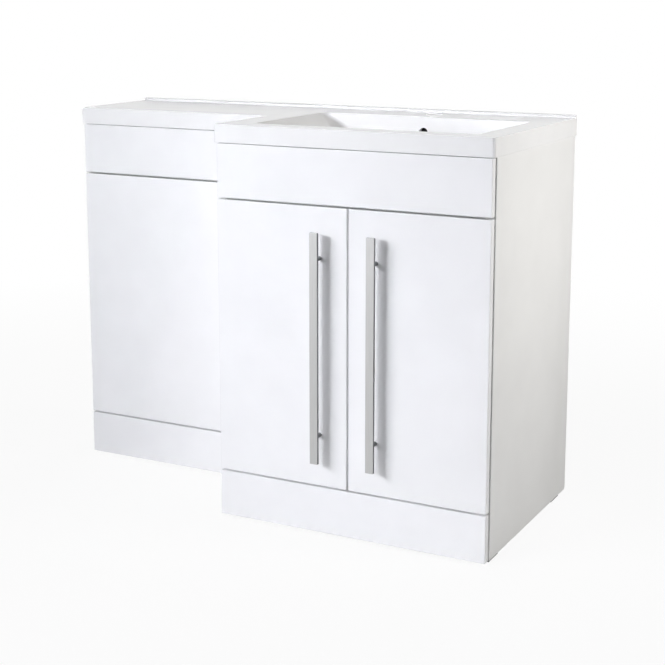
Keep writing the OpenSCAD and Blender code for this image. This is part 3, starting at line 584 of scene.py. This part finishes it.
def bowl_loops(bm, x0, x1, y0, y1, floor):
    """The loops of the bowl's inside, from the deck over the rim and down to the floor."""
    heights = [(BOWL_DEPTH, -BOWL_RIM_R)]
    for step in range(1, RIM_STEPS + 1):
        a = math.radians(90 * step / RIM_STEPS)
        drop = BOWL_RIM_R * (1 - math.cos(a))
        heights.append((BOWL_DEPTH - drop, -BOWL_RIM_R * (1 - math.sin(a))))
    for step in range(FOOT_STEPS + 1):
        a = math.radians(90 * step / FOOT_STEPS)
        heights.append((WALL_FOOT_R * (1 - math.sin(a)), 0.0))
    loops = []
    for h, grow in heights:
        wall = slope_in(h, WALL_LEAN, BOWL_DEPTH, WALL_FOOT_R) + grow
        ramp = slope_in(h, RAMP_RUN, BOWL_DEPTH, RAMP_FOOT_R) + grow
        down = 1 - h / BOWL_DEPTH
        corner = BOWL_CORNER + (BOWL_CORNER_LOW - BOWL_CORNER) * down - grow
        points = rounded(x0 + ramp, x1 - wall, y0 + wall, y1 - wall, corner, floor + h)
        loops.append(loop_through(bm, points))
    return loops


def shell_loops(bm, x0, x1, y0, y1, start, floor):
    """The loops of the bowl's outside, from under the deck down to its flat underside."""
    slope = math.atan2(BOWL_DEPTH, RAMP_RUN)
    depth = BOWL_DEPTH + BOWL_WALL
    heights = [start - floor]
    for step in range(SHELL_STEPS + 1):
        a = math.radians(90 * step / SHELL_STEPS)
        heights.append(WALL_FOOT_R * (1 - math.sin(a)))
    loops = []
    for h in heights:
        ramp = slope_in(h, RAMP_RUN * depth / BOWL_DEPTH, depth, WALL_FOOT_R)
        wall = slope_in(h, WALL_LEAN, depth, WALL_FOOT_R)
        left = x0 - BOWL_WALL / math.sin(slope) + ramp
        right = x1 + BOWL_WALL - wall
        points = rounded(left, right, y0 - BOWL_WALL, y1 + BOWL_WALL, SHELL_CORNER, floor + h)
        loops.append(loop_through(bm, points))
    return loops


def on_face(face, x, z):
    """The point of a face's plane at that place across and that height."""
    c, n = face.calc_center_median(), face.normal
    return Vector((x, c.y - (n.x * (x - c.x) + n.z * (z - c.z)) / n.y, z))


def mount_hole(name):
    """The place and the radius of a hole that the record lists as a mount."""
    return Vector(mounts[name]["pos_m"]), mounts[name]["dims"]["r_mm"] * MM


def round_wall(bm, centre, rings):
    """The wall of an upright hole or boss, through rings of a height and a radius each."""
    loops = [circle(bm, (centre.x, centre.y, z), (0, 0, 1), r) for z, r in rings]
    bridge(bm, loops)
    return loops


def basin_top():
    """The cast top: slab and lip, bowl, its holes and the tap's, and the hollow underside."""
    lo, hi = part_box("basin_top")
    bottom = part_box("vanity_side_right")[1].z
    deck = hi.z - LIP_H
    under = deck - DECK_T
    wc_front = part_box("wc_front_panel")[0].y - OVERHANG
    deep_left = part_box("vanity_side_left")[0].x - SIDE_OVERHANG
    bm = top_slab(Vector((lo.x, lo.y, bottom)), hi, wc_front, deep_left, deck)
    add_lip(bm, hi, deck)
    ease_top(bm, hi, bottom, deck)
    deck_face = widest([f for f in bm.faces if f.normal.z > ALONG], (0, 0, 1))
    base_face = widest([f for f in bm.faces if f.normal.z < -ALONG], (0, 0, 1))

    x1 = hi.x - BOWL_RIGHT
    x0 = x1 - BOWL_W
    y0 = lo.y + BOWL_FRONT
    y1 = y0 + BOWL_L
    floor = deck - BOWL_DEPTH
    inside = bowl_loops(bm, x0, x1, y0, y1, floor)
    walls = bridge(bm, inside)
    outside = shell_loops(bm, x0, x1, y0, y1, under, floor - BOWL_WALL)
    shells = bridge(bm, outside)

    tap, tap_r = mount_hole("tap_hole")
    tap_rings = [(deck, tap_r + TAP_RIM_R), (deck - TAP_RIM_R, tap_r), (under, tap_r)]
    tap_hole = round_wall(bm, tap, tap_rings)
    waste, waste_r = mount_hole("waste_hole")
    waste_rings = [
        (floor, waste_r + WASTE_RIM_R),
        (floor - WASTE_RIM_R, waste_r),
        (lo.z, waste_r),
    ]
    waste_hole = round_wall(bm, waste, waste_rings)
    boss_r = waste_r + BOSS_WALL
    boss_rings = [
        (lo.z, boss_r - BOSS_EDGE),
        (lo.z + BOSS_EDGE, boss_r),
        (floor - BOWL_WALL, boss_r),
    ]
    boss = round_wall(bm, waste, boss_rings)

    open_face(bm, deck_face, [inside[0], tap_hole[0]])
    fill(bm, [inside[-1], waste_hole[0]], (0, 0, 1))
    fill(bm, [boss[0], waste_hole[-1]], (0, 0, -1))
    fill(bm, [outside[-1], boss[-1]], (0, 0, -1))

    outline = l_shape(
        lo.x + RIM_SIDE,
        hi.x - RIM_SIDE,
        lo.y + RIM_FRONT,
        hi.y - RIM_FRONT,
        wc_front + RIM_FRONT,
        deep_left + RIM_SIDE,
    )
    hollow = [loop_through(bm, [(x, y, z) for x, y in outline]) for z in (bottom, under)]
    bridge(bm, hollow)
    open_face(bm, base_face, [hollow[0]])
    fill(bm, [hollow[1], outside[0], tap_hole[-1]], (0, 0, -1))

    # the overflow goes through the straight part of the bowl's back wall, inside and outside
    backs = [
        widest([f for f in wall if f.calc_center_median().y > tap.y / 2], (0, 1, 0))
        for wall in (walls[RIM_STEPS], shells[0])
    ]
    place = (tap.x, deck - OVERFLOW_DOWN)
    overflow = [circle(bm, on_face(face, *place), face.normal, OVERFLOW_R) for face in backs]
    for face, loop in zip(backs, overflow):
        open_face(bm, face, [loop])
    bridge(bm, overflow)
    piece("basin_top_casting", bm, "unit", GELCOAT, "basin_top")


# ---- Fronts, boards and handles ----


def fixed_fronts():
    """The lacquered fascias, panels and plinths, with softly rounded edges."""
    for node, body in (
        ("vanity_fascia", "unit"),
        ("vanity_plinth", "unit"),
        ("wc_access_panel", "access_panel"),
        ("wc_front_panel", "unit"),
        ("wc_plinth", "unit"),
    ):
        bm = block(*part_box(node), FRONT_EDGE)
        piece("lacquered_" + node, bm, body, LACQUER, node)


def door(side):
    """A lacquered door with the round bores for its hinge cups."""
    lo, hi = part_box("door_" + side)
    bm = block(lo, hi, FRONT_EDGE)
    back = widest([f for f in bm.faces if f.normal.y > ALONG], (0, 1, 0))
    cups_lo, cups_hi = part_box("hinge_cups_" + side)
    x = hi.x - CUP_INSET if side == "right" else lo.x + CUP_INSET
    heights = (cups_lo.z + CUP_FLANGE, cups_hi.z - CUP_FLANGE)
    bores = [circle(bm, (x, hi.y, z), (0, 1, 0), CUP_R) for z in heights]
    open_face(bm, back, bores)
    for bore in bores:
        sink(bm, bore, (0, -CUP_DEPTH, 0))
    piece("lacquered_door_" + side, bm, side + "_door", LACQUER, "door_" + side)


def handle(side):
    """A flat bar, brushed on its face, on two turned posts. The bar's sides and the posts are
    painted darker, as painted shade.
    """
    body = side + "_door"
    bm = block(*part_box("handle_bar_" + side), BAR_EDGE)
    bar = piece("brushed_bar_" + side, bm, body, STEEL, "handle_bar_" + side)
    # the bar's sides get the steel painted darker, as painted shade
    bar.data.materials.append(SATIN)
    for polygon in bar.data.polygons:
        brushed = abs(polygon.normal.y) > 0.7  # the front and the back, up to their edges; the other faces get the steel painted darker as shade
        polygon.material_index = 0 if brushed else 1
    lo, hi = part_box("handle_posts_" + side)
    x = (lo.x + hi.x) / 2
    radius = (hi.x - lo.x) / 2
    rings = (
        (lo.y, radius - POST_EDGE),
        (lo.y + POST_EDGE, radius),
        (hi.y - POST_EDGE, radius),
        (hi.y, radius - POST_EDGE),
    )
    bm = bmesh.new()
    for z in (lo.z + radius, hi.z - radius):
        loops = [circle(bm, (x, y, z), (0, 1, 0), r, POST_SIDES) for y, r in rings]
        bridge(bm, loops)
        for end in (loops[0], loops[-1]):
            bmesh.ops.edgeloop_fill(bm, edges=end)
    # the posts get the steel painted darker, as painted shade
    piece("turned_posts_" + side, bm, body, SATIN, "handle_posts_" + side)


def boards():
    """The melamine boards, with their bores and slightly eased edges."""
    for part in frame["record"]["subparts"]:
        if part["material_slot"] != "white_board":
            continue
        bm = merged_copy(part["node"])
        long_edges = [e for e in sharp_edges(bm) if e.calc_length() > LONG_EDGE]
        soften(bm, long_edges, BOARD_EDGE, segments=2)
        piece("melamine_" + part["node"], bm, "unit", MELAMINE, part["node"])


# ---- Floor, light and camera ----


def seen_directly(tree):
    """The output that is 1 for rays of the camera, of reflections and through glass."""
    rays = add_node(tree, "ShaderNodeLightPath")
    both = add_node(
        tree,
        "ShaderNodeMath",
        {"operation": "MAXIMUM"},
        {0: rays.outputs["Is Camera Ray"], 1: rays.outputs["Is Glossy Ray"]},
    )
    every = add_node(
        tree,
        "ShaderNodeMath",
        {"operation": "MAXIMUM"},
        {0: both.outputs[0], 1: rays.outputs["Is Transmission Ray"]},
    )
    return every.outputs[0]


def studio_floor():
    """A pale floor that the camera and reflections see as white, with the unit's faint shadow."""
    bm = bmesh.new()
    bmesh.ops.create_circle(bm, cap_ends=True, radius=FLOOR_R, segments=96)
    mesh = bpy.data.meshes.new("floor")
    bm.to_mesh(mesh)
    bm.free()
    material = bpy.data.materials.new("pale_floor")
    material.use_nodes = True
    tree = material.node_tree
    tree.nodes.clear()
    place = add_node(tree, "ShaderNodeTexCoord")
    away = add_node(
        tree, "ShaderNodeVectorMath", {"operation": "LENGTH"}, {0: place.outputs["Object"]}
    )
    plain = add_node(
        tree,
        "ShaderNodeMapRange",
        {"From Min": FLOOR_NEAR, "From Max": FLOOR_FAR, "To Min": FLOOR_SHARE, "To Max": 1.0},
        {"Value": away.outputs["Value"]},
    )
    share = add_node(
        tree,
        "ShaderNodeMath",
        {"operation": "MULTIPLY"},
        {0: seen_directly(tree), 1: plain.outputs["Result"]},
    )
    matt = add_node(tree, "ShaderNodeBsdfDiffuse", {"Color": linear("E6E6E6")})
    white = add_node(tree, "ShaderNodeEmission", {"Color": WHITE, "Strength": 1.0})
    mix = add_node(
        tree,
        "ShaderNodeMixShader",
        links={0: share.outputs[0], 1: matt.outputs[0], 2: white.outputs[0]},
    )
    add_node(tree, "ShaderNodeOutputMaterial", links={"Surface": mix.outputs[0]})
    mesh.materials.append(material)
    add_object("floor", mesh)


def studio_world():
    """White round the horizon where the camera or a reflection sees it, greyer overhead as in a
    studio with a plain ceiling, and a soft dim light elsewhere."""
    made = bpy.data.worlds.new("studio")
    bpy.context.scene.world = made
    made.use_nodes = True
    tree = made.node_tree
    tree.nodes.clear()
    place = add_node(tree, "ShaderNodeTexCoord")
    up = add_node(tree, "ShaderNodeSeparateXYZ", links={"Vector": place.outputs["Generated"]})
    ceiling = add_node(
        tree,
        "ShaderNodeMapRange",
        {
            "From Min": CEILING_LOW,
            "From Max": CEILING_HIGH,
            "To Min": 1.0,
            "To Max": CEILING_GREY,
        },
        {"Value": up.outputs["Z"]},
    )
    soft = add_node(
        tree, "ShaderNodeBackground", {"Color": linear("FFFEFB"), "Strength": AMBIENT}
    )
    white = add_node(
        tree, "ShaderNodeBackground", {"Color": WHITE}, {"Strength": ceiling.outputs["Result"]}
    )
    mix = add_node(
        tree,
        "ShaderNodeMixShader",
        links={0: seen_directly(tree), 1: soft.outputs[0], 2: white.outputs[0]},
    )
    add_node(tree, "ShaderNodeOutputWorld", links={"Surface": mix.outputs[0]})


def lamp(name, place, target, width, height, spread, power, code, lean=0):
    """A soft box with a honeycomb, which faces its target and may lean to one side. Its light's
    spread and its lean are in degrees, its power is in watts, and the rest is in metres."""
    data = bpy.data.lights.new(name, "AREA")
    data.shape = "RECTANGLE"
    data.size = width
    data.size_y = height
    data.spread = math.radians(spread)
    data.energy = power
    data.color = linear(code)[:3]
    facing = (Vector(target) - Vector(place)).to_track_quat("-Z", "Y")
    leaning = Quaternion((0, 0, 1), math.radians(lean))
    obj = add_object(name, data)
    obj.location = place
    obj.rotation_euler = (facing @ leaning).to_euler()


def lights():
    """Three strips from the left front, which lean along the shadows of the handle posts to keep
    them clear, a large soft fill from the front, a small lamp at the right and one at the back."""
    lamp("key_light", (-1.73, -3.65, 1.78), (0.3, 0.0, 0.5), 1.2, 0.45, 48, 5.9, "F9FAFF", -33)
    lamp("strip_light", (-1.95, -3.65, 1.85), (0.3, 0.0, 0.5), 3.2, 0.35, 48, 4.3, "F9FAFF", -33)
    lamp("far_light", (-3.1, -3.1, 2.45), (0.55, 0.0, 0.45), 1.8, 0.35, 44, 6.2, "F9FAFF", -30)
    lamp("front_light", (0.4, -3.8, 2.1), (0.0, -0.2, 0.5), 2.5, 2.5, 180, 18.5, "F9FAFF")
    lamp("side_light", (2.75, 0.3, 1.6), (0.546, 0.03, 0.665), 0.6, 0.5, 46, 3.6, "FFFDFA")
    lamp("back_light", (0.1, 3.5, 1.3), (0.0, 0.2, 0.45), 0.9, 0.9, 120, 25.0, "FFFFFF")


def camera():
    """A long lens at the right front of the unit, a little above its deck."""
    data = bpy.data.cameras.new("camera")
    data.sensor_width = SENSOR_WIDTH
    data.lens = FOCAL_PX / IMAGE_SIZE * data.sensor_width
    data.shift_y = CAMERA_SHIFT
    data.clip_end = VIEW_LIMIT
    obj = add_object("camera", data)
    obj.location = CAMERA_PLACE
    obj.rotation_euler = (math.radians(90 - CAMERA_PITCH), 0, math.radians(CAMERA_YAW))
    bpy.context.scene.camera = obj


camera()
studio_world()
lights()
studio_floor()
dress_nodes()
basin_top()
fixed_fronts()
for hand in ("left", "right"):
    door(hand)
    handle(hand)
boards()

bpy.context.scene.view_settings.view_transform = "Standard"
